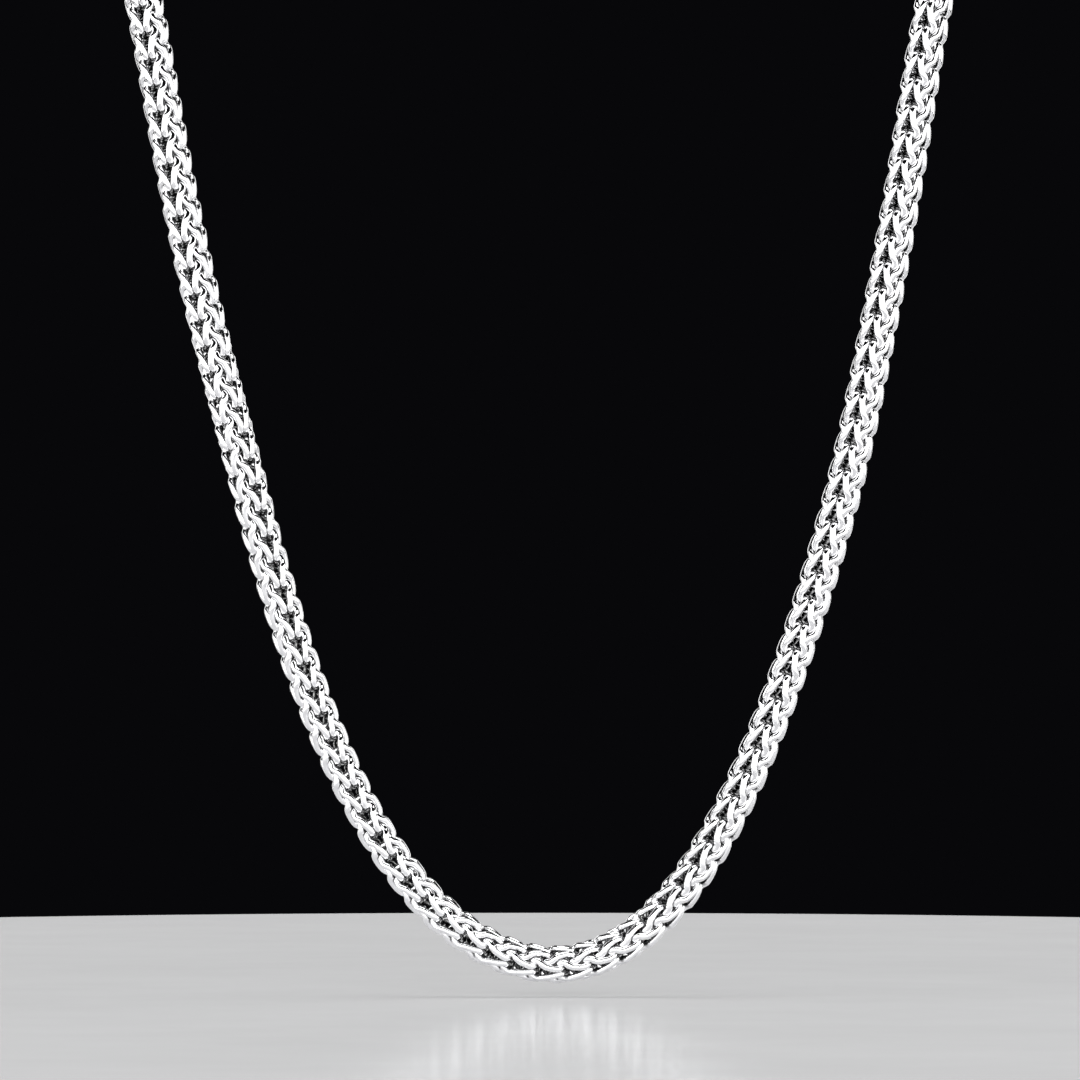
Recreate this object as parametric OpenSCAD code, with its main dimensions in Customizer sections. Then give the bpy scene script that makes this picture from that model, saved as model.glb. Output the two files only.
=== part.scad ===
// A wheat chain necklace, hung as a neck holds it.
// Millimetres. +Z is up, +X is to the right seen from the front, and the front faces -Y.
// The origin is the place at the nape that the clasp lies against.

/* [Chain] */
// Width of the tube that the chain's links fill
chain_width = 4.6; // [3.6:0.1:4.8]
// Sides of the tube that stands for the chain's links
chain_sides = 12; // [8:1:12]

/* [End cups] */
// Length of the straight part of each cup
cup_length = 4.5; // [3.5:0.5:6]
// Thickness of the cup's wall
cup_wall = 0.4; // [0.3:0.05:0.6]

/* [Eyes and rings] */
// Outer width of the small eye on each cup and on the clasp
eye_width = 2.9; // [2.7:0.1:3.1]
// Wire thickness of the small eyes
eye_wire = 0.8; // [0.7:0.05:0.85]
// Outer width of the two jump rings
ring_width = 5.2; // [4.8:0.1:5.6]
// Wire thickness of the jump rings
ring_wire = 0.8; // [0.6:0.05:0.8]

/* [Clasp] */
// Outer width of the clasp's loop
loop_width = 6.2; // [5.8:0.1:6.8]
// Thickness of the clasp's loop
loop_wire = 1.6; // [1.4:0.1:1.8]
// Thickness of the shank where it leaves the loop
shank_width = 2.2; // [1.8:0.1:2.6]
// Width of the thumb knob on the loop
knob_width = 1.2; // [1:0.1:1.6]

/* [Hidden] */
// Play between pieces that hang in each other
gap = 0.1;
// Thickness of the floor of a cup, and length of the cone behind it
cup_floor = 0.8;
cup_taper = 1.2;
// Width of the cone's tip, where the eye is soldered on
cup_tip = 1.8;
round_fn = 48;

// Height and depth of the clasp's axis, and of the plane in which the front hangs
nape = [0, 2.5, 0];
front_y = -94;

// The chain's axis, from its lowest point up one side, as [x, z] in the front plane
front_right = [
    [1, -164], [5, -163.5], [9, -161.5], [12.5, -159], [15.5, -155.5], [18.5, -151],
    [21.5, -145.5], [24.5, -138.5], [27.5, -130.5], [30, -122.5], [32.5, -114],
    [34.5, -105.5], [36.5, -95.5], [38, -87.5], [39.5, -79], [41, -69.5], [42.5, -60.5]
];
front_left = [
    [1, -164], [-3, -163], [-7, -161], [-10.5, -158.5], [-13.5, -155], [-17, -150.5],
    [-20, -145], [-23, -138.5], [-26, -130.5], [-28.5, -122.5], [-31, -113.5],
    [-33, -105.5], [-35, -98], [-37, -89.5], [-39, -80], [-40.5, -72], [-42.5, -60.5]
];
// The same axis round the right side of the neck to the end cup, as [x, y, z]
neck_side = [
    [44.5, -92.5, -52], [47, -88, -44], [49.5, -81.5, -35.5], [52.5, -73, -28],
    [55, -63, -21.5], [56, -52.5, -16.5], [55.5, -41.5, -12.5], [53, -30.5, -9],
    [48.5, -20, -6], [42, -11, -3.5], [34, -4, -1.5], [25.5, 0.5, -0.5], [17, 2.5, 0],
    [12, 2.5, 0]
];
route_right = concat([for (p = front_right) [p[0], front_y, p[1]]], neck_side);
route_left = concat([for (p = front_left) [p[0], front_y, p[1]]],
                    [for (p = neck_side) [-p[0], p[1], p[2]]]);
// A point inside the loop, which each ring of the tube turns the same side towards
loop_middle = [0, -46, -80];

// Half widths, and the places of the fittings from the end of the chain to the clasp
chain_end = neck_side[len(neck_side) - 1][0];
cup_bore = chain_width / 2 + 0.15;
cup_inside = chain_end - gap;
cup_cone = cup_inside - cup_floor;
cup_tip_x = cup_cone - cup_taper;
eye_r = (eye_width - eye_wire) / 2;
ring_r = (ring_width - ring_wire) / 2;
loop_r = (loop_width - loop_wire) / 2;
cup_eye_x = cup_tip_x - eye_r + eye_wire / 4;
ring_in_eye = eye_r - eye_wire / 2 - ring_wire / 2 - gap;
ring_in_loop = loop_r - loop_wire / 2 - ring_wire / 2 - gap;
ring_x = cup_eye_x - ring_in_eye - ring_r;
clasp_eye_x = ring_x - ring_r - ring_in_eye;
clasp_loop_x = -(ring_x - ring_r - ring_in_loop);

function unit(v) = v / norm(v);

// Direction of a route at its point i: half way between the two stretches that meet there
function heading(route, i) =
    let (last = len(route) - 1)
    i == 0 ? [sign(route[1][0] - route[0][0]), 0, 0]
    : i == last ? unit(route[last] - route[last - 1])
    : unit(unit(route[i + 1] - route[i]) + unit(route[i] - route[i - 1]));

// The corners of the tube's ring round the route's point i
function ring_at(route, i) =
    let (
        along = heading(route, i),
        inward = loop_middle - route[i],
        across = unit(inward - (inward * along) * along),
        side = cross(along, across)
    )
    [for (k = [0 : chain_sides - 1])
        let (a = 360 * k / chain_sides)
        route[i] + chain_width / 2 * (cos(a) * across + sin(a) * side)];

// One closed tube with a ring at each point of its route
module tube(route) {
    rings = len(route);
    n = chain_sides;
    corners = [for (i = [0 : rings - 1]) each ring_at(route, i)];
    walls = [for (i = [0 : rings - 2], k = [0 : n - 1])
        let (a = i * n + k, b = i * n + (k + 1) % n)
        each [[a, a + n, b], [b, a + n, b + n]]];
    first_cap = [for (k = [0 : n - 1]) k];
    last_cap = [for (k = [n - 1 : -1 : 0]) (rings - 1) * n + k];
    polyhedron(points = corners, faces = concat([first_cap], walls, [last_cap]));
}

// A closed ring of round wire that lies flat in X and Y
module wire_ring(middle_r, wire) {
    rotate_extrude($fn = round_fn) translate([middle_r, 0]) circle(d = wire, $fn = round_fn);
}

// The same ring on edge, with its hole along Y
module eye(middle_r, wire) {
    rotate([90, 0, 0]) wire_ring(middle_r, wire);
}

// The cup soldered round the chain's right end, with its eye towards the clasp
module end_cup() {
    color("silver") translate(nape) {
        difference() {
            union() {
                translate([cup_cone, 0, 0]) rotate([0, 90, 0])
                    cylinder(h = cup_floor + cup_length, r = cup_bore + cup_wall, $fn = round_fn);
                translate([cup_tip_x, 0, 0]) rotate([0, 90, 0])
                    cylinder(h = cup_taper, r1 = cup_tip / 2, r2 = cup_bore + cup_wall, $fn = round_fn);
            }
            translate([cup_inside, 0, 0]) rotate([0, 90, 0])
                cylinder(h = cup_length + 1, r = cup_bore, $fn = round_fn);
        }
        translate([cup_eye_x, 0, 0]) eye(eye_r, eye_wire);
    }
}

module chain_left() {
    color("silver") tube(route_left);
}

module chain_right() {
    color("silver") tube(route_right);
}

module end_cup_left() {
    mirror([1, 0, 0]) end_cup();
}

module end_cup_right() {
    end_cup();
}

module clasp_ring_left() {
    color("silver") translate(nape) translate([-ring_x, 0, 0]) wire_ring(ring_r, ring_wire);
}

module clasp_ring_right() {
    color("silver") translate(nape) translate([ring_x, 0, 0]) wire_ring(ring_r, ring_wire);
}

// A cast loop with a thumb knob, a tapered shank and the eye at its end
module clasp() {
    shank_start = clasp_loop_x + loop_r;
    shank_end = clasp_eye_x - eye_r;
    color("silver") translate(nape) {
        translate([clasp_loop_x, 0, 0]) eye(loop_r, loop_wire);
        translate([shank_start, 0, 0]) rotate([0, 90, 0])
            cylinder(h = shank_end - shank_start, d1 = shank_width, d2 = eye_wire * 1.2, $fn = round_fn);
        translate([clasp_eye_x, 0, 0]) eye(eye_r, eye_wire);
        translate([clasp_loop_x, 0, loop_r]) cylinder(h = loop_wire * 0.75, d = knob_width, $fn = round_fn);
    }
}

chain_left();
chain_right();
end_cup_left();
end_cup_right();
clasp_ring_left();
clasp_ring_right();
clasp();
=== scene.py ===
# Wheat chain necklace: every link, the cups and clasp at the nape, the metal, the floor and the light.
import math

import bmesh
import bpy
import numpy as np
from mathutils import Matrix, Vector


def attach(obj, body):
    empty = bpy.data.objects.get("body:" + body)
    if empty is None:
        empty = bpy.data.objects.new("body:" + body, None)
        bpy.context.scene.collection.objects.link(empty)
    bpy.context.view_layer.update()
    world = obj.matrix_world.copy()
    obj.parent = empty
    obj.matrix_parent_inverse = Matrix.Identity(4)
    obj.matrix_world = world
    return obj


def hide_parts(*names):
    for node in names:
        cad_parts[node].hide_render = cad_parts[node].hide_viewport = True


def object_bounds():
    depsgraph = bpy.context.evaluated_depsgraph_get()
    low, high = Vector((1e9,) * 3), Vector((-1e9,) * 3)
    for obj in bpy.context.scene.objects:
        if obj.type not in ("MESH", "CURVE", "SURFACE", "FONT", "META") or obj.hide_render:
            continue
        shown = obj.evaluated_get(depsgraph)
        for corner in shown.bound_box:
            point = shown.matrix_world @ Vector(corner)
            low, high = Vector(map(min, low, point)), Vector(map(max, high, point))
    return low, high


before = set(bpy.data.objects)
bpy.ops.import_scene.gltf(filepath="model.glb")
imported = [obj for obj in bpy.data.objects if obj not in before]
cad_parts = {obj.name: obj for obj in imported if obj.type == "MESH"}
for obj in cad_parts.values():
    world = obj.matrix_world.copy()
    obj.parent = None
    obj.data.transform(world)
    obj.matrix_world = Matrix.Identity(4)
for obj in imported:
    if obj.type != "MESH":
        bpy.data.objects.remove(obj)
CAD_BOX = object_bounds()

bl_info = {
    "name": "Wheat Chain Necklace",
    "version": (1, 0, 0),
    "blender": (4, 5, 0),
    "location": "3D View > Sidebar > Necklace",
    "description": "Builds a polished steel wheat chain with its end cups, jump rings and clasp",
    "category": "Object",
}

# The chain's axis in metres, as the part's source gives it: the front as (x, z), lowest point first
FRONT_Y = -0.094
FRONT_RIGHT = [
    (0.001, -0.164), (0.005, -0.1635), (0.009, -0.1615), (0.0125, -0.159), (0.0155, -0.1555),
    (0.0185, -0.151), (0.0215, -0.1455), (0.0245, -0.1385), (0.0275, -0.1305), (0.03, -0.1225),
    (0.0325, -0.114), (0.0345, -0.1055), (0.0365, -0.0955), (0.038, -0.0875), (0.0395, -0.079),
    (0.041, -0.0695), (0.0425, -0.0605),
]
FRONT_LEFT = [
    (0.001, -0.164), (-0.003, -0.163), (-0.007, -0.161), (-0.0105, -0.1585), (-0.0135, -0.155),
    (-0.017, -0.1505), (-0.02, -0.145), (-0.023, -0.1385), (-0.026, -0.1305), (-0.0285, -0.1225),
    (-0.031, -0.1135), (-0.033, -0.1055), (-0.035, -0.098), (-0.037, -0.0895), (-0.039, -0.08),
    (-0.0405, -0.072), (-0.0425, -0.0605),
]
# The same axis round the right side of the neck to the end cup, as (x, y, z)
NECK_SIDE = [
    (0.0445, -0.0925, -0.052), (0.047, -0.088, -0.044), (0.0495, -0.0815, -0.0355),
    (0.0525, -0.073, -0.028), (0.055, -0.063, -0.0215), (0.056, -0.0525, -0.0165),
    (0.0555, -0.0415, -0.0125), (0.053, -0.0305, -0.009), (0.0485, -0.02, -0.006),
    (0.042, -0.011, -0.0035), (0.034, -0.004, -0.0015), (0.0255, 0.0005, -0.0005),
    (0.017, 0.0025, 0.0), (0.012, 0.0025, 0.0),
]

# A quarter of one link, from the middle of its pinched waist to the tip of one lobe: across the
# fold, half the lobe's width, and along the chain. The link is folded in a U here, so that both its
# lobes point along the chain and the next link's waist lies in them. The points come from a search
# that weighed how far the wires overlap against the chain's outline in the photo, and were then
# rounded and narrowed.
LINK_QUARTER = [
    (0.0, 1.05, 0.0), (2.75, 1.1, 0.2), (4.2, 1.05, 1.5), (4.6, 1.65, 4.1), (4.5, 2.2, 6.1),
    (4.1, 2.85, 7.05), (3.3, 3.15, 8.05), (2.75, 2.7, 9.8), (1.8, 1.5, 10.45), (1.55, 0.0, 10.25),
]
# Pitch of one row of links in the unit of those points
WEAVE_PITCH = 8.4
LINK_RINGS = 80
LINK_SIDES = 12
# Extra share of a link's rings that goes to its bends
BEND_SHARE = 0.6
# A direction that no wire starts along
OFF_THE_WIRE = (0.3, 0.2, 1.0)

# How far the hanging chain is rolled about its own axis: metres past its lowest point, from the
# right strand (below 0) to the left (above 0), and degrees
ROLL_ALONG = [
    (-0.117, 28), (-0.081, 25), (-0.045, 10), (-0.018, 30), (0.007, 72), (0.034, 100),
    (0.055, 112), (0.085, 155), (0.118, 160),
]

# The chain runs from the right cup round to the left cup, and the gap between them is left out
AXIS_STEP = 0.0002
AXIS_SOFTNESS = 0.006
CUP_TO_CUP = 0.024
# Clear length that the first and the last link keep to the floor of their cup
END_PLAY = 0.0006
# Where the chain is cut into pieces: a low one below this height, a high one in front of this depth
LOW_BELOW = -0.112
HIGH_BEFORE = -0.085

# Shares of the view that other wires take from a place on a wire, added up even where they hide each
# other: the steel has no painted shade below the first sum and full painted shade above the second
CREVICE_FROM, CREVICE_TO = 1.0, 2.9
# Links that are counted on each side, and the stretch of a link's own wire that isn't, in radii
CREVICE_LINKS = 5
CREVICE_OWN = 4

# Places of the fittings in metres, as the part's source works them out from its sizes
NAPE = (0.0, 0.0025, 0.0)
CHAIN_HALF = 0.0023
CHAIN_END = 0.012
PLAY = 0.0001
CUP_PLAY = 0.00015
CUP_FLOOR = 0.0008
CUP_TAPER = 0.0012
CUP_TIP_HALF = 0.0009
# Height of the knob in loop wires, and half the shank's tip in eye wires
KNOB_HEIGHT = 0.75
SHANK_TIP_HALF = 0.6
# What grinding and buffing take off the fittings' outside
BUFFED_OFF = 0.00001

# The groove where a jump ring's ends meet: its width in metres, and its depth as a share of the radius
SEAM_WIDTH = 0.00012
SEAM_DEPTH = 0.12
EYE_RINGS = 120
JUMP_RINGS = 240
FITTING_SIDES = 24
LATHE_SIDES = 72
# Widths over which the corners of turned profiles are rounded, and the steps that this is done in
CUP_ROUNDING = 0.00024
SHANK_ROUNDING = 0.0002
KNOB_ROUNDING = 0.0003
ROUNDING_STEP = 0.00002
STEPS_A_RING = 4

# The clasp's skin: its grain, its smoothing, and the times it is drawn to the bodies' surface
VOXEL = 0.00006
SKIN_SOFTNESS = 0.5
SKIN_PASSES = 8
SKIN_DRAWS = 6
# Softness of the clasp's inner corners, rounding of its knob, and the step that slopes are taken over
CASTING_FILLET = 0.0001
KNOB_EDGE = 0.0002
SLOPE_STEP = 0.000001

# Distance from the camera to the plane of the front, the width of that plane it sees, and its middle
CAMERA_REACH = 0.9
FRAME_WIDTH = 0.11664
CAMERA_X = 0.0001
CAMERA_Z = -0.1179
CAMERA_NEAR = 0.05
CAMERA_FAR = 20

# The tent of soft panels round the necklace: name, degrees round from the camera, width, brightness
PANEL_REACH = 1.3
PANEL_HEIGHT = 1.4
PANELS = [
    ("panel_front", 0, 0.88, 2.7), ("panel_front_right", 40, 0.88, 2.7),
    ("panel_front_left", -40, 0.88, 2.7), ("panel_right", 80, 0.88, 2.4),
    ("panel_left", -80, 0.88, 2.4), ("panel_back_right", 145, 0.8, 1.5),
    ("panel_back_left", -145, 0.8, 1.5), ("panel_back", 180, 0.9, 0.45),
]
TOP_PANEL_Z = 1.2
TOP_PANEL_WIDTH = 0.9
TOP_PANEL_BRIGHTNESS = 3.2
TENT_MIDDLE = (0.0, -0.05, -0.09)

FLOOR_MIDDLE = (0.0, -0.09)
FLOOR_RADIUS = 0.2
FLOOR_SIDES = 128
FLOOR_DROP = 0.001
STUDIO_DARK = "#08080A"


def hex_colour(text):
    """An sRGB hex colour as the linear colour that Blender's sockets take."""
    parts = [int(text[i:i + 2], 16) / 255 for i in (1, 3, 5)]
    linear = [p / 12.92 if p <= 0.04045 else ((p + 0.055) / 1.055) ** 2.4 for p in parts]
    return (*linear, 1.0)


def length(name, description, default, low, high):
    """A length in metres that a user may change."""
    return bpy.props.FloatProperty(
        name=name, description=description, default=default, min=low, max=high, precision=5,
        unit="LENGTH", subtype="DISTANCE")


def colour(name, description, default):
    """A colour that a user may change."""
    return bpy.props.FloatVectorProperty(
        name=name, description=description, default=hex_colour(default)[:3], min=0, max=1, size=3,
        subtype="COLOR")


class NecklaceChainSizes(bpy.types.PropertyGroup):
    wire_width: length("Wire width", "Thickness of the wire of each link", 0.00072, 0.0004, 0.0008)
    row_pitch: length("Row pitch", "Distance from one link to the next in a row", 0.00286, 0.002, 0.0035)
    steel: colour("Steel", "Colour of the polished steel wire", "#F6F6F7")
    # Colour of the painted shade deep between the wires, where other wires take much of the view
    painted_crevice_shade: colour("Crevice", "Colour deep between the wires, where no polish reaches", "#1C1C1E")


class NecklaceFittingSizes(bpy.types.PropertyGroup):
    cup_length: length("Cup length", "Length of a cup's straight part", 0.0045, 0.0035, 0.006)
    cup_wall: length("Cup wall", "Thickness of a cup's wall", 0.0004, 0.0003, 0.0006)
    eye_width: length("Eye width", "Outer width of the small eyes", 0.0029, 0.0027, 0.0031)
    eye_wire: length("Eye wire", "Wire thickness of the small eyes", 0.0008, 0.0007, 0.00085)
    ring_width: length("Ring width", "Outer width of the jump rings", 0.0052, 0.0048, 0.0056)
    ring_wire: length("Ring wire", "Wire thickness of the jump rings", 0.0008, 0.0006, 0.0008)
    loop_width: length("Loop width", "Outer width of the clasp's loop", 0.0062, 0.0058, 0.0068)
    loop_wire: length("Loop wire", "Thickness of the clasp's loop", 0.0016, 0.0014, 0.0018)
    shank_width: length("Shank width", "Thickness of the shank at the loop", 0.0022, 0.0018, 0.0026)
    knob_width: length("Knob width", "Width of the clasp's thumb knob", 0.0012, 0.001, 0.0016)
    steel: colour("Steel", "Colour of the polished fittings", "#E9E9EB")


class NecklaceStudioSizes(bpy.types.PropertyGroup):
    floor: colour("Floor", "Colour of the pale floor", "#EAEAEC")
    light: bpy.props.FloatProperty(
        name="Light", description="Brightness of all the panels together", default=1.0, min=0, max=4,
        subtype="FACTOR")


def add_node(tree, kind, settings=None, inputs=None):
    """One node with its settings, and each input as a value or as the socket that feeds it."""
    node = tree.nodes.new(kind)
    for name, value in (settings or {}).items():
        setattr(node, name, value)
    for name, value in (inputs or {}).items():
        if isinstance(value, bpy.types.NodeSocket):
            tree.links.new(value, node.inputs[name])
        else:
            node.inputs[name].default_value = value
    return node


def new_material(name):
    material = bpy.data.materials.new(name)
    material.use_nodes = True
    material.node_tree.nodes.clear()
    return material, material.node_tree


def polished_wire():
    """Stainless steel wire, drawn through a die and then barrel-polished as a finished chain.

    The eye gets a bright mirror with soft edges, faint lines that the die left along the wire,
    slightly duller patches from wear, and painted shade: the colour darkens to near black between
    the wires, where the other wires take much of the view.
    """
    chain = bpy.context.scene.necklace_chain
    material, tree = new_material("barrel_polished_stainless_steel_wire")
    on_wire = add_node(tree, "ShaderNodeUVMap", {"uv_map": "WireMap"})
    place = add_node(tree, "ShaderNodeTexCoord")
    unshaded_share = add_node(tree, "ShaderNodeAttribute", {"attribute_name": "unshaded_share"})
    # Die lines are a few hundredths of a millimetre apart: drawn at 0.15 mm, so that they show
    lines_at = add_node(tree, "ShaderNodeMapping", inputs={
        "Vector": on_wire.outputs["UV"], "Scale": (250.0, 14.0, 1.0)})
    lines = add_node(tree, "ShaderNodeTexNoise", inputs={
        "Vector": lines_at.outputs["Vector"], "Scale": 1.0, "Detail": 3.0, "Roughness": 0.6})
    # Patches of duller metal, 2 to 3 mm across
    rubbed = add_node(tree, "ShaderNodeTexNoise", inputs={
        "Vector": place.outputs["Object"], "Scale": 420.0, "Detail": 3.0, "Roughness": 0.55})
    # Dimples that the polishing beads leave, 0.2 mm across
    dimples = add_node(tree, "ShaderNodeTexNoise", inputs={
        "Vector": place.outputs["Object"], "Scale": 5200.0, "Detail": 2.0, "Roughness": 0.5})
    worn = add_node(tree, "ShaderNodeMapRange", inputs={
        "Value": rubbed.outputs["Fac"], "From Min": 0.35, "From Max": 0.7,
        "To Min": 0.04, "To Max": 0.12})
    drawn = add_node(tree, "ShaderNodeMath", {"operation": "MULTIPLY_ADD"}, {0: lines.outputs["Fac"]})
    drawn.inputs[1].default_value = 0.05
    tree.links.new(worn.outputs["Result"], drawn.inputs[2])
    unpolished = add_node(tree, "ShaderNodeMapRange", inputs={
        "Value": unshaded_share.outputs["Fac"], "From Min": 0.0, "From Max": 0.5, "To Min": 0.2, "To Max": 0.0})
    rough = add_node(tree, "ShaderNodeMath", {"operation": "ADD"}, {
        0: drawn.outputs["Value"], 1: unpolished.outputs["Result"]})
    # Painted shade: the steel colour darkens to the crevice colour where other wires take much of the
    # view
    tint = add_node(tree, "ShaderNodeMix", {"data_type": "RGBA"}, {
        "Factor": unshaded_share.outputs["Fac"], 6: (*chain.painted_crevice_shade, 1.0), 7: (*chain.steel, 1.0)})
    lines_bump = add_node(tree, "ShaderNodeBump", inputs={
        "Height": lines.outputs["Fac"], "Strength": 0.06, "Distance": 0.00002})
    bump = add_node(tree, "ShaderNodeBump", inputs={
        "Height": dimples.outputs["Fac"], "Strength": 0.07, "Distance": 0.00002,
        "Normal": lines_bump.outputs["Normal"]})
    shader = add_node(tree, "ShaderNodeBsdfPrincipled", inputs={
        "Base Color": tint.outputs[2], "Metallic": 1.0, "Roughness": rough.outputs["Value"],
        "Normal": bump.outputs["Normal"]})
    add_node(tree, "ShaderNodeOutputMaterial", inputs={"Surface": shader.outputs["BSDF"]})
    return material


def polished_fittings():
    """Stainless steel cups, rings and clasp, buffed one by one on a soft wheel.

    The eye gets a calmer mirror than the wire's, with fine hairlines from use that cross each
    other, and softly clouded patches from handling.
    """
    fittings = bpy.context.scene.necklace_fittings
    material, tree = new_material("wheel_buffed_stainless_steel")
    place = add_node(tree, "ShaderNodeTexCoord")
    # Clouded patches, 2 mm across
    clouds = add_node(tree, "ShaderNodeTexNoise", inputs={
        "Vector": place.outputs["Object"], "Scale": 500.0, "Detail": 4.0, "Roughness": 0.6})
    rough = add_node(tree, "ShaderNodeMapRange", inputs={
        "Value": clouds.outputs["Fac"], "From Min": 0.3, "From Max": 0.7,
        "To Min": 0.07, "To Max": 0.19})
    # Hairlines are about 0.01 mm wide: drawn 0.05 mm wide in two directions, so that they show
    hairlines = []
    for turn in ((0.3, 0.5, 0.9), (1.1, -0.4, 2.3)):
        turned = add_node(tree, "ShaderNodeMapping", inputs={
            "Vector": place.outputs["Object"], "Rotation": turn, "Scale": (400.0, 9000.0, 400.0)})
        hairlines.append(add_node(tree, "ShaderNodeTexNoise", inputs={
            "Vector": turned.outputs["Vector"], "Scale": 1.0, "Detail": 2.0, "Roughness": 0.5}))
    crossed = add_node(tree, "ShaderNodeMath", {"operation": "MULTIPLY"}, {
        0: hairlines[0].outputs["Fac"], 1: hairlines[1].outputs["Fac"]})
    bump = add_node(tree, "ShaderNodeBump", inputs={
        "Height": crossed.outputs["Value"], "Strength": 0.1, "Distance": 0.00002})
    worn = add_node(tree, "ShaderNodeMapRange", inputs={
        "Value": clouds.outputs["Fac"], "From Min": 0.25, "From Max": 0.75})
    steel = Vector(fittings.steel)
    tint = add_node(tree, "ShaderNodeMix", {"data_type": "RGBA"}, {
        "Factor": worn.outputs["Result"], 6: (*(steel * 0.9), 1.0), 7: (*steel, 1.0)})
    shader = add_node(tree, "ShaderNodeBsdfPrincipled", inputs={
        "Base Color": tint.outputs[2], "Metallic": 1.0, "Roughness": rough.outputs["Result"],
        "Normal": bump.outputs["Normal"]})
    add_node(tree, "ShaderNodeOutputMaterial", inputs={"Surface": shader.outputs["BSDF"]})
    return material


def lacquered_board():
    """A pale board sprayed with satin lacquer.

    The eye gets a soft, slightly blurred reflection under the chain's lowest links, over the
    fine orange peel that spraying leaves and a barely clouded white.
    """
    material, tree = new_material("satin_lacquered_board")
    place = add_node(tree, "ShaderNodeTexCoord")
    # Clouds in the white, 40 mm across
    clouds = add_node(tree, "ShaderNodeTexNoise", inputs={
        "Vector": place.outputs["Object"], "Scale": 25.0, "Detail": 3.0, "Roughness": 0.5})
    # Orange peel, 1.5 mm across
    peel = add_node(tree, "ShaderNodeTexNoise", inputs={
        "Vector": place.outputs["Object"], "Scale": 650.0, "Detail": 2.0, "Roughness": 0.4})
    floor = Vector(bpy.context.scene.necklace_studio.floor)
    tint = add_node(tree, "ShaderNodeMix", {"data_type": "RGBA"}, {
        "Factor": clouds.outputs["Fac"], 6: (*(floor * 0.94), 1.0), 7: (*floor, 1.0)})
    rough = add_node(tree, "ShaderNodeMapRange", inputs={
        "Value": clouds.outputs["Fac"], "To Min": 0.12, "To Max": 0.19})
    bump = add_node(tree, "ShaderNodeBump", inputs={
        "Height": peel.outputs["Fac"], "Strength": 0.05, "Distance": 0.00005})
    shader = add_node(tree, "ShaderNodeBsdfPrincipled", inputs={
        "Base Color": tint.outputs[2], "Roughness": rough.outputs["Result"],
        "Specular IOR Level": 0.3, "Normal": bump.outputs["Normal"]})
    add_node(tree, "ShaderNodeOutputMaterial", inputs={"Surface": shader.outputs["BSDF"]})
    return material


def unit(v):
    return v / np.linalg.norm(v, axis=-1, keepdims=True)


def closed_curve(points, per_span=24):
    """Dense points on the smooth closed curve through the given ones, without a jump in its bend."""
    p = np.array(points, float)
    count = len(p)
    after = np.roll(p, -1, 0)
    span = np.linalg.norm(after - p, axis=1) ** 0.5
    span_before = np.roll(span, 1)
    slope = (after - p) / span[:, None]
    system = np.zeros((count, count))
    for i in range(count):
        system[i, i - 1] += span_before[i]
        system[i, i] += 2 * (span_before[i] + span[i])
        system[i, (i + 1) % count] += span[i]
    bend = np.linalg.solve(system, 6 * (slope - np.roll(slope, 1, 0)))
    bend_after = np.roll(bend, -1, 0)
    whole = span[:, None, None]
    done = (np.arange(per_span) / per_span)[None, :, None] * whole
    left = whole - done
    curve = (
        bend[:, None] * left ** 3 / (6 * whole) + bend_after[:, None] * done ** 3 / (6 * whole)
        + (p[:, None] / whole - bend[:, None] * whole / 6) * left
        + (after[:, None] / whole - bend_after[:, None] * whole / 6) * done
    )
    return curve.reshape(-1, 3)


def along(curve):
    """Distance along a closed curve at each of its points, with the whole length last."""
    gaps = np.linalg.norm(np.roll(curve, -1, 0) - curve, axis=1)
    return np.concatenate([[0.0], np.cumsum(gaps)])


def read_at(places, known, values):
    """Values between the known places, column by column."""
    return np.stack([np.interp(places, known, values[:, k]) for k in range(values.shape[1])], -1)


def even_points(curve, count, bend_share=0.0):
    """Points along a closed curve, closer together where it bends."""
    ahead = np.roll(curve, -1, 0) - curve
    gaps = np.linalg.norm(ahead, axis=1)
    way = ahead / gaps[:, None]
    turn = np.arccos(np.clip((way * np.roll(way, 1, 0)).sum(1), -1, 1))
    turn = (turn + np.roll(turn, -1)) / 2
    weight = gaps / gaps.sum() + bend_share * turn / turn.sum()
    known = np.concatenate([[0.0], np.cumsum(weight)])
    places = np.arange(count) / count * known[-1]
    return read_at(places, known, np.vstack([curve, curve[:1]]))


def wire_rings(centre, radius, sides):
    """Rings of corners round a closed wire, turned evenly so that the last meets the first."""
    count = len(centre)
    way = unit(np.roll(centre, -1, 0) - np.roll(centre, 1, 0))
    side = np.zeros_like(centre)
    side[0] = unit(np.cross(way[0], OFF_THE_WIRE))
    for i in range(1, count):
        side[i] = unit(side[i - 1] - (side[i - 1] @ way[i]) * way[i])
    last = unit(side[-1] - (side[-1] @ way[0]) * way[0])
    slip = math.atan2(last @ np.cross(way[0], side[0]), last @ side[0])
    turns = (-slip * np.arange(count) / count)[:, None]
    side = np.cos(turns) * side + np.sin(turns) * np.cross(way, side)
    up = np.cross(way, side)
    angle = (np.arange(sides) * 2 * math.pi / sides)[None, :, None]
    reach = np.broadcast_to(radius, count)[:, None, None]
    return centre[:, None] + reach * (np.cos(angle) * side[:, None] + np.sin(angle) * up[:, None])


def ring_quads(rings, sides):
    """Quads of a closed tube whose last ring joins its first."""
    i = np.arange(rings)[:, None]
    k = np.arange(sides)[None, :]
    next_i = (i + 1) % rings
    next_k = (k + 1) % sides
    corners = [i * sides + k, next_i * sides + k, next_i * sides + next_k, i * sides + next_k]
    return np.stack(corners, -1).reshape(-1, 4)


def wire_map(place, sides):
    """For each corner of each quad: metres along the wire, and turns round it."""
    count = len(place) - 1
    before, after = place[:-1, None], place[1:, None]
    turn, next_turn = np.arange(sides)[None, :] / sides, (np.arange(sides)[None, :] + 1) / sides
    corners = [(before, turn), (after, turn), (after, next_turn), (before, next_turn)]
    pairs = [np.stack(np.broadcast_arrays(*pair), -1) for pair in corners]
    return np.stack(pairs, 2).reshape(count * sides * 4, 2)


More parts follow.
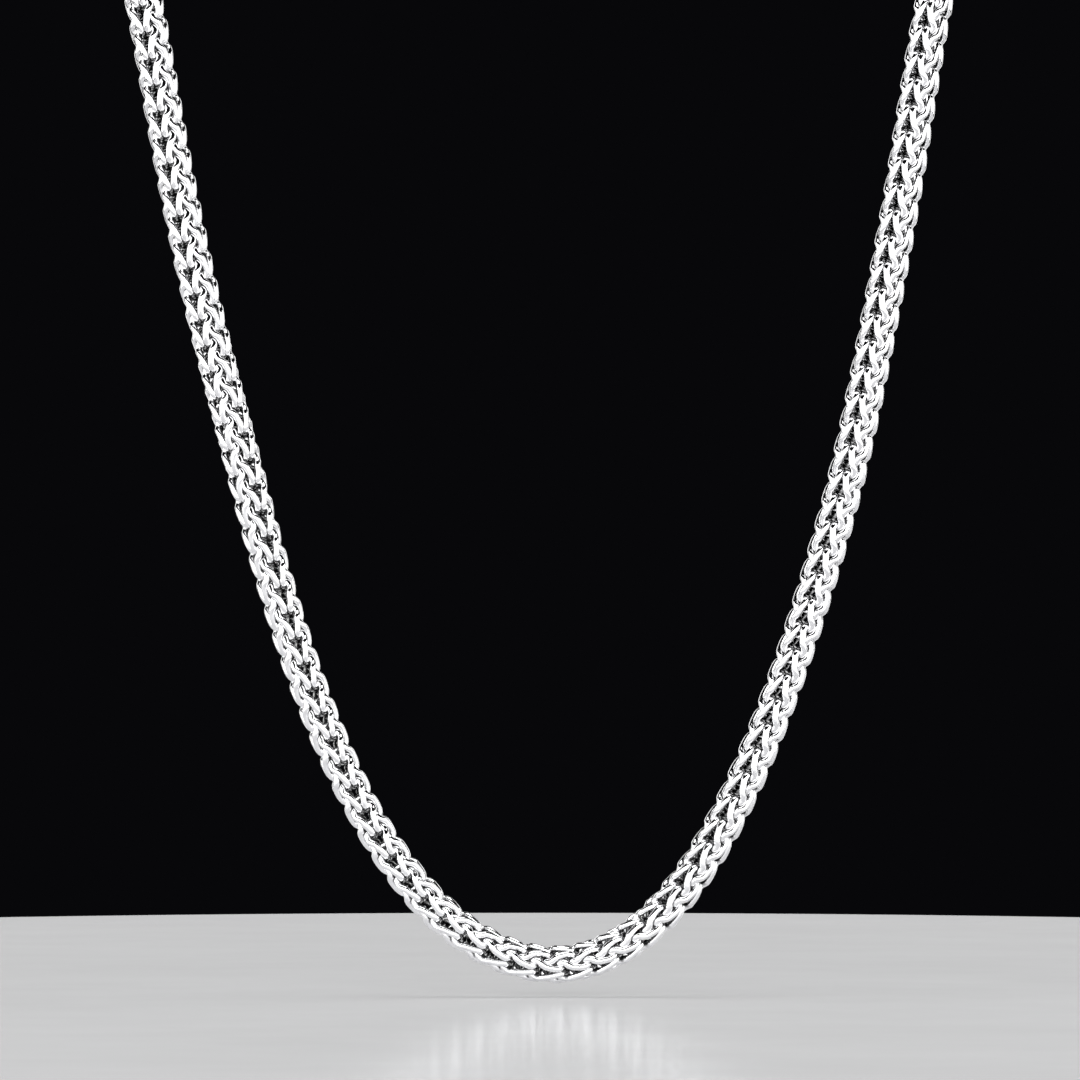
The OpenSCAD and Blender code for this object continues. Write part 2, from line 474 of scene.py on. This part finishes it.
def mesh_object(name, verts, quads):
    """A smooth-shaded object from arrays of corners and quads."""
    mesh = bpy.data.meshes.new(name)
    mesh.vertices.add(len(verts))
    mesh.vertices.foreach_set("co", verts.astype(np.float32).ravel())
    mesh.loops.add(quads.size)
    mesh.loops.foreach_set("vertex_index", quads.astype(np.int32).ravel())
    mesh.polygons.add(len(quads))
    mesh.polygons.foreach_set("loop_start", np.arange(0, quads.size, 4, dtype=np.int32))
    mesh.polygons.foreach_set("use_smooth", np.ones(len(quads), bool))
    mesh.update(calc_edges=True)
    mesh.validate()
    obj = bpy.data.objects.new(name, mesh)
    bpy.context.scene.collection.objects.link(obj)
    return obj


def place_piece(obj, node, material):
    """Give a piece its finish, fix it to the necklace and let it take its solid's place."""
    obj.data.materials.clear()
    obj.data.materials.append(material)
    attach(obj, "root")
    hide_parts(node)


def shared_material(name, maker):
    """The material of that name, made the first time it is asked for."""
    return bpy.data.materials.get(name) or maker()


def whole_axis():
    """The closed line through the whole necklace, from the right cup down and round to the left cup."""
    right = [(x, FRONT_Y, z) for x, z in FRONT_RIGHT] + NECK_SIDE
    left = [(x, FRONT_Y, z) for x, z in FRONT_LEFT[1:]] + [(-x, y, z) for x, y, z in NECK_SIDE]
    curve = closed_curve(right[::-1] + left)
    known = along(curve)
    count = int(round(known[-1] / AXIS_STEP))
    places = np.arange(count) * known[-1] / count
    curve = read_at(places, known, np.vstack([curve, curve[:1]]))
    # Where it turns to the neck, the curve would swing out in front of the plane of the front
    curve[:, 1] = np.maximum(curve[:, 1], FRONT_Y)
    # The listed points waver by half a millimetre: a blur that keeps the large curves takes it out
    waves = np.fft.rfftfreq(count)[:, None]
    blur = np.exp(-2 * (math.pi * waves * AXIS_SOFTNESS / AXIS_STEP) ** 2)
    return np.fft.irfft(np.fft.rfft(curve, axis=0) * (2 * blur - blur * blur), n=count, axis=0)


def axis_frames(curve, low):
    """The side of the axis that faces forwards, and the third way, carried along without twist."""
    way = unit(np.roll(curve, -1, 0) - np.roll(curve, 1, 0))
    front = np.zeros_like(curve)
    front[low] = (0.0, -1.0, 0.0)
    for ahead, stop in ((1, len(curve)), (-1, -1)):
        for i in range(low + ahead, stop, ahead):
            before = front[i - ahead]
            front[i] = unit(before - (before @ way[i]) * way[i])
    return front, np.cross(way, front)


def link_centre(weave_unit):
    """The closed line through the wire of one link."""
    side = LINK_QUARTER[:-1]
    tip = LINK_QUARTER[-1]
    points = (
        side + [tip] + [(x, -y, z) for x, y, z in side[::-1]]
        + [(-x, -y, z) for x, y, z in side[1:]] + [(-tip[0], tip[1], tip[2])]
        + [(-x, y, z) for x, y, z in side[:0:-1]]
    )
    return even_points(closed_curve(points) * weave_unit, LINK_RINGS, BEND_SHARE)


def crevice_share(corners, centre, radius, half_pitch):
    """Sum of the shares of the view from each corner of a link that the wires round it take."""
    normal = unit((corners.reshape(len(centre), -1, 3) - centre[:, None]).reshape(-1, 3))
    place = along(centre)
    gaps = np.diff(place)
    own = np.repeat(place[:-1], LINK_SIDES)
    turned = np.stack([-centre[:, 1], centre[:, 0], centre[:, 2]], 1)
    shade = np.zeros(len(corners))
    for k in range(-CREVICE_LINKS, CREVICE_LINKS + 1):
        other = (turned if k % 2 else centre) + (0.0, 0.0, k * half_pitch)
        apart = other[None] - corners[:, None]
        reach = np.linalg.norm(apart, axis=2)
        facing = (apart * normal[:, None]).sum(2) / reach
        share = np.maximum(facing, 0) * 2 * radius * gaps / (math.pi * np.maximum(reach, radius) ** 2)
        if k == 0:
            way = np.abs(own[:, None] - place[None, :-1])
            way = np.minimum(way, place[-1] - way)
            share = np.where(way < CREVICE_OWN * radius, 0.0, share)
        shade += share.sum(1)
    return shade


class NECKLACE_OT_links(bpy.types.Operator):
    """Bend, fold and interlock every link of the wheat chain"""
    bl_idname = "necklace.links"
    bl_label = "Wheat chain links"

    def execute(self, context):
        chain = context.scene.necklace_chain
        radius = chain.wire_width / 2
        curve = whole_axis()
        low = int(curve[:, 2].argmin())
        front, third = axis_frames(curve, low)
        known = along(curve)[:-1]
        lobe_length = LINK_QUARTER[-1][2] * chain.row_pitch / WEAVE_PITCH
        reach = along(curve)[-1] - CUP_TO_CUP - lobe_length - 2 * END_PLAY
        count = int(reach / (chain.row_pitch / 2)) + 1
        half_pitch = reach / (count - 1)
        waists = END_PLAY + np.arange(count) * half_pitch

        centre = link_centre(2 * half_pitch / WEAVE_PITCH)
        link = wire_rings(centre, radius, LINK_SIDES).reshape(-1, 3)
        quads = ring_quads(LINK_RINGS, LINK_SIDES)
        uv = wire_map(along(centre), LINK_SIDES)
        shade = crevice_share(link, centre, radius, half_pitch)
        # Painted shade: 1 keeps the bright steel, 0 takes the crevice colour, by how much of the view
        # other wires take
        unshaded_share = np.clip((CREVICE_TO - shade) / (CREVICE_TO - CREVICE_FROM), 0, 1)

        groups = {}
        for k, waist in enumerate(waists):
            middle = curve[int(waist / AXIS_STEP)]
            side = "right" if waist < known[low] else "left"
            stretch = "low" if middle[2] < LOW_BELOW else "high" if middle[1] < HIGH_BEFORE else "neck"
            groups.setdefault((side, stretch), []).append(k)
        material = shared_material("barrel_polished_stainless_steel_wire", polished_wire)
        past_low, degrees = zip(*ROLL_ALONG)
        for (side, stretch), members in groups.items():
            verts = []
            for k in members:
                roll = math.radians(
                    np.interp(waists[k] - known[low], past_low, degrees) + 90 * (k % 2))
                x = link[:, 0] * math.cos(roll) - link[:, 1] * math.sin(roll)
                y = link[:, 0] * math.sin(roll) + link[:, 1] * math.cos(roll)
                where = waists[k] + link[:, 2]
                base, ahead, across = (read_at(where, known, v) for v in (curve, front, third))
                verts.append(base + x[:, None] * across - y[:, None] * ahead)
            shift = (np.arange(len(members)) * len(link))[:, None, None]
            obj = mesh_object(f"links_{side}_{stretch}", np.vstack(verts), (quads + shift).reshape(-1, 4))
            layer = obj.data.uv_layers.new(name="WireMap")
            layer.uv.foreach_set("vector", np.tile(uv, (len(members), 1)).astype(np.float32).ravel())
            layer = obj.data.attributes.new("unshaded_share", "FLOAT", "POINT")
            layer.data.foreach_set("value", np.tile(unshaded_share, len(members)).astype(np.float32))
            place_piece(obj, f"chain_{side}", material)
        return {"FINISHED"}


class FittingPlaces:
    """Where the fittings sit along the nape, right side, worked out from their sizes."""

    def __init__(self):
        sizes = bpy.context.scene.necklace_fittings
        self.bore = CHAIN_HALF + CUP_PLAY
        self.cup_inside = CHAIN_END - PLAY
        self.cup_cone = self.cup_inside - CUP_FLOOR
        self.cup_tip = self.cup_cone - CUP_TAPER
        self.eye = (sizes.eye_width - sizes.eye_wire) / 2
        self.ring = (sizes.ring_width - sizes.ring_wire) / 2
        self.loop = (sizes.loop_width - sizes.loop_wire) / 2
        self.cup_eye_x = self.cup_tip - self.eye + sizes.eye_wire / 4
        half_ring_wire = sizes.ring_wire / 2 + PLAY
        ring_in_eye = self.eye - sizes.eye_wire / 2 - half_ring_wire
        ring_in_loop = self.loop - sizes.loop_wire / 2 - half_ring_wire
        self.ring_x = self.cup_eye_x - ring_in_eye - self.ring
        self.clasp_eye_x = self.ring_x - self.ring - ring_in_eye
        self.clasp_loop_x = -(self.ring_x - self.ring - ring_in_loop)


def round_ring(x, middle_radius, wire, upright, seam=0.0, rings=EYE_RINGS):
    """Corners and quads of a ring of round wire, with a fine groove where its ends meet."""
    angle = np.arange(rings) * 2 * math.pi / rings
    flat = np.stack([np.cos(angle), np.sin(angle)], 1) * middle_radius
    zero = np.zeros(rings)
    centre = np.stack([flat[:, 0], zero, flat[:, 1]] if upright else [flat[:, 0], flat[:, 1], zero], 1)
    from_seam = np.abs((angle - math.pi / 2 + math.pi) % (2 * math.pi) - math.pi) * middle_radius
    groove = np.exp(-(from_seam / SEAM_WIDTH) ** 2) * seam
    corners = wire_rings(centre, wire / 2 * (1 - groove), FITTING_SIDES)
    return corners.reshape(-1, 3) + (x, 0.0, 0.0), ring_quads(rings, FITTING_SIDES)


def softened(profile, width):
    """Points along a profile from axis to axis, with its corners rounded off over a width."""
    p = np.array(profile, float)
    known = np.concatenate([[0.0], np.cumsum(np.linalg.norm(np.diff(p, axis=0), axis=1))])
    line = read_at(np.linspace(0, known[-1], int(known[-1] / ROUNDING_STEP) + 1), known, p)
    steps = int(width / ROUNDING_STEP)
    spare = 2 * steps + 2
    # The profile goes on as its mirror image past the axis, so that the blur leaves its ends there
    flip = np.array([1.0, -1.0])
    longer = np.vstack([line[spare:0:-1] * flip, line, line[-2:-spare - 2:-1] * flip])
    # An odd count of equal shares, spread twice, keeps the blur centred
    kernel = np.ones(steps | 1)
    kernel = np.convolve(kernel, kernel) / kernel.sum() ** 2
    smooth = np.stack([np.convolve(longer[:, i], kernel, "same") for i in (0, 1)], 1)
    return smooth[spare:-spare][::STEPS_A_RING]


def lathe(profile):
    """Corners and faces of a body turned about the X axis, from a profile of (x, radius)."""
    inner = profile[1:-1]
    angle = np.arange(LATHE_SIDES) * 2 * math.pi / LATHE_SIDES
    corners = np.stack([
        np.broadcast_to(inner[:, :1], (len(inner), LATHE_SIDES)),
        inner[:, 1:] * np.cos(angle), inner[:, 1:] * np.sin(angle)], -1).reshape(-1, 3)
    k = np.arange(LATHE_SIDES)
    after = (k + 1) % LATHE_SIDES
    i = np.arange(len(inner) - 1)[:, None] * LATHE_SIDES
    quads = np.stack([i + k, i + after, i + LATHE_SIDES + after, i + LATHE_SIDES + k], -1)
    return corners, quads.reshape(-1, 4)


def end_cup():
    """Corners and quads of the right end's cup with its eye, turned and buffed round."""
    sizes = bpy.context.scene.necklace_fittings
    at = FittingPlaces()
    outer = at.bore + sizes.cup_wall - BUFFED_OFF
    mouth = at.cup_inside + sizes.cup_length
    profile = [
        (at.cup_tip, 0.0), (at.cup_tip, CUP_TIP_HALF), (at.cup_cone, outer), (mouth, outer),
        (mouth, at.bore), (at.cup_inside, at.bore), (at.cup_inside, 0.0),
    ]
    body, body_quads = lathe(softened(profile, CUP_ROUNDING))
    eye, eye_quads = round_ring(at.cup_eye_x, at.eye, sizes.eye_wire, upright=True)
    return np.vstack([body, eye]), np.vstack([body_quads, eye_quads + len(body)])


class NECKLACE_OT_end_cups(bpy.types.Operator):
    """Turn the two cups that the chain's ends are soldered in"""
    bl_idname = "necklace.end_cups"
    bl_label = "End cups"

    def execute(self, context):
        material = shared_material("wheel_buffed_stainless_steel", polished_fittings)
        corners, quads = end_cup()
        for side, hand in (("right", 1.0), ("left", -1.0)):
            turned = quads if hand > 0 else quads[:, ::-1]
            cup = mesh_object(f"cup_{side}", corners * (hand, 1.0, 1.0) + NAPE, turned)
            place_piece(cup, f"end_cup_{side}", material)
        return {"FINISHED"}


class NECKLACE_OT_jump_rings(bpy.types.Operator):
    """Close the two jump rings between the cups and the clasp"""
    bl_idname = "necklace.jump_rings"
    bl_label = "Jump rings"

    def execute(self, context):
        sizes = context.scene.necklace_fittings
        material = shared_material("wheel_buffed_stainless_steel", polished_fittings)
        at = FittingPlaces()
        for side, hand in (("right", 1.0), ("left", -1.0)):
            corners, quads = round_ring(
                hand * at.ring_x, at.ring, sizes.ring_wire, upright=False, seam=SEAM_DEPTH,
                rings=JUMP_RINGS)
            ring = mesh_object(f"jump_ring_{side}", corners + NAPE, quads)
            place_piece(ring, f"clasp_ring_{side}", material)
        return {"FINISHED"}


def ring_body(x, middle_radius, wire):
    """Distance to an upright ring of wire."""
    return lambda p: np.hypot(np.hypot(p[:, 0] - x, p[:, 2]) - middle_radius, p[:, 1]) - wire / 2


def shank_body(start, start_radius, end, end_radius):
    """Distance to a tapered rod along X, near enough for its gentle taper."""
    def distance(p):
        share = ((p[:, 0] - start) / (end - start)).clip(0, 1)
        side = np.hypot(p[:, 1], p[:, 2]) - start_radius - (end_radius - start_radius) * share
        return np.maximum(side, np.maximum(start - p[:, 0], p[:, 0] - end))
    return distance


def knob_body(x, radius, bottom, top):
    """Distance to an upright pin with rounded edges."""
    def distance(p):
        side = np.hypot(p[:, 0] - x, p[:, 1]) - radius + KNOB_EDGE
        end = np.maximum(p[:, 2] - top, bottom - p[:, 2]) + KNOB_EDGE
        outside = np.hypot(np.maximum(side, 0), np.maximum(end, 0))
        return outside + np.minimum(np.maximum(side, end), 0) - KNOB_EDGE
    return distance


class NECKLACE_OT_clasp(bpy.types.Operator):
    """Cast the clasp: its loop with a thumb knob, the tapered shank and the eye"""
    bl_idname = "necklace.clasp"
    bl_label = "Clasp"

    def execute(self, context):
        sizes = context.scene.necklace_fittings
        at = FittingPlaces()
        knob_top = at.loop + sizes.loop_wire * KNOB_HEIGHT - BUFFED_OFF
        shank_start = at.clasp_loop_x + at.loop
        shank_end = at.clasp_eye_x - at.eye
        wide, narrow = sizes.shank_width / 2, sizes.eye_wire * SHANK_TIP_HALF
        shank = [(shank_start, 0.0), (shank_start, wide), (shank_end, narrow), (shank_end, 0.0)]
        knob = [
            (at.loop, 0.0), (at.loop, sizes.knob_width / 2),
            (knob_top, sizes.knob_width / 2), (knob_top, 0.0),
        ]
        knob_corners, knob_quads = lathe(softened(knob, KNOB_ROUNDING))
        knob_corners = knob_corners[:, [1, 2, 0]] + (at.clasp_loop_x, 0.0, 0.0)
        parts = [
            round_ring(at.clasp_loop_x, at.loop, sizes.loop_wire, upright=True),
            lathe(softened(shank, SHANK_ROUNDING)),
            round_ring(at.clasp_eye_x, at.eye, sizes.eye_wire, upright=True),
            (knob_corners, knob_quads),
        ]
        starts = np.cumsum([0] + [len(corners) for corners, quads in parts])
        corners = np.vstack([corners for corners, quads in parts])
        quads = np.vstack([quads + start for (c, quads), start in zip(parts, starts)])
        clasp = mesh_object("cast_clasp", corners, quads)
        cast_in_one(clasp, [
            ring_body(at.clasp_loop_x, at.loop, sizes.loop_wire),
            shank_body(shank_start, wide, shank_end, narrow),
            ring_body(at.clasp_eye_x, at.eye, sizes.eye_wire),
            knob_body(at.clasp_loop_x, sizes.knob_width / 2, at.loop, knob_top),
        ])
        material = shared_material("wheel_buffed_stainless_steel", polished_fittings)
        place_piece(clasp, "clasp", material)
        return {"FINISHED"}


def cast_in_one(obj, bodies):
    """Make one skin of an object's crossing bodies, with the soft inner corners of a casting."""
    closed = bmesh.new()
    closed.from_mesh(obj.data)
    edges = [edge for edge in closed.edges if edge.is_boundary]
    bmesh.ops.holes_fill(closed, edges=edges)
    bmesh.ops.recalc_face_normals(closed, faces=closed.faces)
    closed.to_mesh(obj.data)
    closed.free()
    skin = obj.modifiers.new("skin", "REMESH")
    skin.mode = "VOXEL"
    skin.voxel_size = VOXEL
    skin.use_smooth_shade = True
    soft = obj.modifiers.new("soft", "SMOOTH")
    soft.factor = SKIN_SOFTNESS
    soft.iterations = SKIN_PASSES
    graph = bpy.context.evaluated_depsgraph_get()
    mesh = bpy.data.meshes.new_from_object(obj.evaluated_get(graph))
    obj.modifiers.clear()
    obj.data = mesh

    def distance(p):
        return -CASTING_FILLET * np.log(sum(np.exp(-body(p) / CASTING_FILLET) for body in bodies))

    # The skin's steps go as each corner is drawn to the blended surface of the bodies
    flat = np.empty(len(mesh.vertices) * 3, np.float32)
    mesh.vertices.foreach_get("co", flat)
    corners = flat.reshape(-1, 3).astype(float)
    steps = np.eye(3) * SLOPE_STEP
    for _ in range(SKIN_DRAWS):
        slope = np.stack([distance(corners + step) - distance(corners - step) for step in steps], 1)
        slope /= 2 * SLOPE_STEP
        corners -= (distance(corners) / (slope ** 2).sum(1))[:, None] * slope
    mesh.vertices.foreach_set("co", (corners + NAPE).astype(np.float32).ravel())
    mesh.update()


class NECKLACE_OT_studio(bpy.types.Operator):
    """Lay the pale floor, hang the soft panels and set the camera"""
    bl_idname = "necklace.studio"
    bl_label = "Studio"

    def execute(self, context):
        scene = context.scene
        studio = scene.necklace_studio
        mesh = bpy.data.meshes.new("floor")
        disc = bmesh.new()
        bmesh.ops.create_circle(disc, cap_ends=True, segments=FLOOR_SIDES, radius=FLOOR_RADIUS)
        disc.to_mesh(mesh)
        disc.free()
        mesh.materials.append(lacquered_board())
        floor = bpy.data.objects.new("floor", mesh)
        floor.location = (*FLOOR_MIDDLE, CAD_BOX[0][2] - FLOOR_DROP)
        scene.collection.objects.link(floor)

        middle = Vector(TENT_MIDDLE)
        hung = [("panel_top", (0.0, FLOOR_MIDDLE[1], TOP_PANEL_Z), TOP_PANEL_WIDTH, TOP_PANEL_WIDTH,
                 TOP_PANEL_BRIGHTNESS)]
        for name, degrees, width, brightness in PANELS:
            angle = math.radians(degrees)
            place = (PANEL_REACH * math.sin(angle), middle.y - PANEL_REACH * math.cos(angle), 0.0)
            hung.append((name, place, width, PANEL_HEIGHT, brightness))
        for name, place, width, height, brightness in hung:
            light = bpy.data.lights.new(name, "AREA")
            light.shape = "RECTANGLE"
            light.size = width
            light.size_y = height
            # A panel's brightness is its power over its area and pi
            light.energy = brightness * studio.light * math.pi * width * height
            panel = bpy.data.objects.new(name, light)
            panel.location = place
            panel.rotation_euler = (middle - Vector(place)).to_track_quat("-Z", "Y").to_euler()
            panel.visible_camera = False
            scene.collection.objects.link(panel)

        world = bpy.data.worlds.new("dark_studio")
        world.use_nodes = True
        world.node_tree.nodes.clear()
        back = add_node(world.node_tree, "ShaderNodeBackground", inputs={
            "Color": hex_colour(STUDIO_DARK), "Strength": 1.0})
        add_node(world.node_tree, "ShaderNodeOutputWorld", inputs={"Surface": back.outputs["Background"]})
        scene.world = world
        scene.view_settings.view_transform = "Standard"
        scene.view_settings.look = "None"

        camera = bpy.data.cameras.new("camera")
        camera.lens = camera.sensor_width * CAMERA_REACH / FRAME_WIDTH
        camera.clip_start = CAMERA_NEAR
        camera.clip_end = CAMERA_FAR
        stand = bpy.data.objects.new("camera", camera)
        stand.location = (CAMERA_X, FRONT_Y - CAMERA_REACH, CAMERA_Z)
        stand.rotation_euler = (math.radians(90), 0, 0)
        scene.collection.objects.link(stand)
        scene.camera = stand
        return {"FINISHED"}


OPERATORS = [
    NECKLACE_OT_links, NECKLACE_OT_end_cups, NECKLACE_OT_jump_rings, NECKLACE_OT_clasp,
    NECKLACE_OT_studio,
]


class NECKLACE_PT_panel(bpy.types.Panel):
    """The necklace's sizes and colours, and a button for each step of its making"""
    bl_idname = "NECKLACE_PT_panel"
    bl_label = "Wheat chain necklace"
    bl_space_type = "VIEW_3D"
    bl_region_type = "UI"
    bl_category = "Necklace"

    def draw(self, context):
        scene = context.scene
        for group in (scene.necklace_chain, scene.necklace_fittings, scene.necklace_studio):
            box = self.layout.box()
            for name in group.__annotations__:
                box.prop(group, name)
        for operator in OPERATORS:
            self.layout.operator(operator.bl_idname, text=operator.bl_label)


CLASSES = [NecklaceChainSizes, NecklaceFittingSizes, NecklaceStudioSizes, *OPERATORS, NECKLACE_PT_panel]


def register():
    for cls in CLASSES:
        bpy.utils.register_class(cls)
    bpy.types.Scene.necklace_chain = bpy.props.PointerProperty(type=NecklaceChainSizes)
    bpy.types.Scene.necklace_fittings = bpy.props.PointerProperty(type=NecklaceFittingSizes)
    bpy.types.Scene.necklace_studio = bpy.props.PointerProperty(type=NecklaceStudioSizes)


def unregister():
    del bpy.types.Scene.necklace_studio
    del bpy.types.Scene.necklace_fittings
    del bpy.types.Scene.necklace_chain
    for cls in reversed(CLASSES):
        bpy.utils.unregister_class(cls)


def main():
    register()
    bpy.ops.necklace.links()
    bpy.ops.necklace.end_cups()
    bpy.ops.necklace.jump_rings()
    bpy.ops.necklace.clasp()
    bpy.ops.necklace.studio()


if __name__ == "__main__":
    main()
